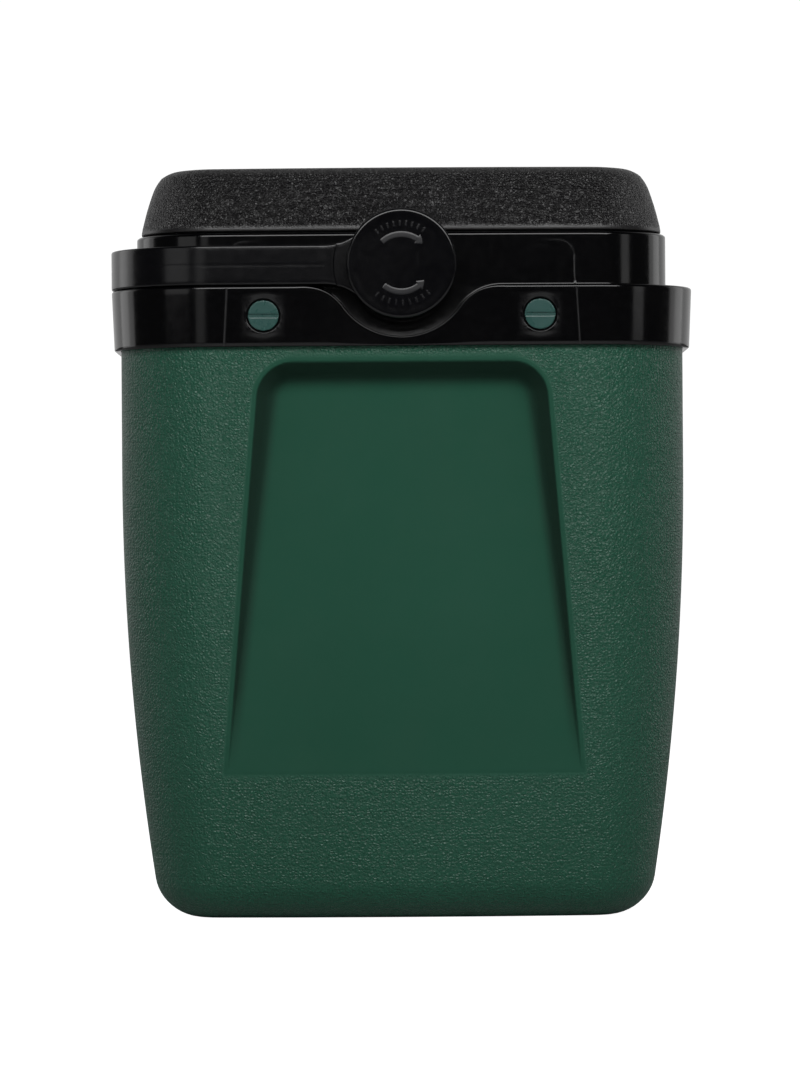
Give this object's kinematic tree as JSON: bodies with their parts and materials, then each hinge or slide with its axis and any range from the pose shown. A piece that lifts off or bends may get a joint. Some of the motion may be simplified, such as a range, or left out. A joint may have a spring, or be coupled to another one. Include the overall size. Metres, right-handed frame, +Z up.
{
  "type": "insulated carrying box",
  "caption": "Rigid insulated carrying box: tapered green tub with hand recesses, black collar, lift-off black lid and a swing-over carrying handle on two capped pivots.",
  "frame": {"origin": "middle of the footprint, on the surface the box stands on", "axes": "+Z up, +Y along the long side, +X across the short side. The short end at -Y is the end the picture shows, with the handle lying to -X."},
  "size_m": [0.3026, 0.4176, 0.3856],
  "materials": {
    "green_plastic": "satin",
    "green_trim": "satin",
    "black_gloss": "gloss",
    "black_grain": "satin",
    "white_plastic": "satin",
    "rigid_foam": "matte",
    "grey_rubber": "matte",
    "plated_steel": "satin"
  },
  "bodies": {
    "case": {"outer_body": "green_plastic", "body_insulation": "rigid_foam", "inner_liner": "white_plastic", "top_collar": "black_gloss", "pivot_cap_front": "black_gloss", "pivot_clip_front": "plated_steel", "collar_screw_front_left": "green_trim", "collar_nut_front_left": "plated_steel", "collar_screw_front_right": "green_trim", "collar_nut_front_right": "plated_steel", "pivot_cap_rear": "black_gloss", "pivot_clip_rear": "plated_steel", "collar_screw_rear_left": "green_trim", "collar_nut_rear_left": "plated_steel", "collar_screw_rear_right": "green_trim", "collar_nut_rear_right": "plated_steel"},
    "handle": {"handle": "black_gloss"},
    "lid": {"lid_cover": "black_grain", "lid_insulation": "rigid_foam", "lid_liner": "white_plastic", "lid_seal": "grey_rubber"}
  },
  "joints": [
    {"name": "handle_swing", "type": "hinge", "parent": "case", "child": "handle", "pos_m": [0, 0, 0.3335], "axis": [0, 1, 0], "range_deg": [0, 180]},
    {"name": "lid_lift", "type": "slide", "parent": "case", "child": "lid", "axis": [0, 0, 1], "range_m": [0, 0.15]}
  ]
}
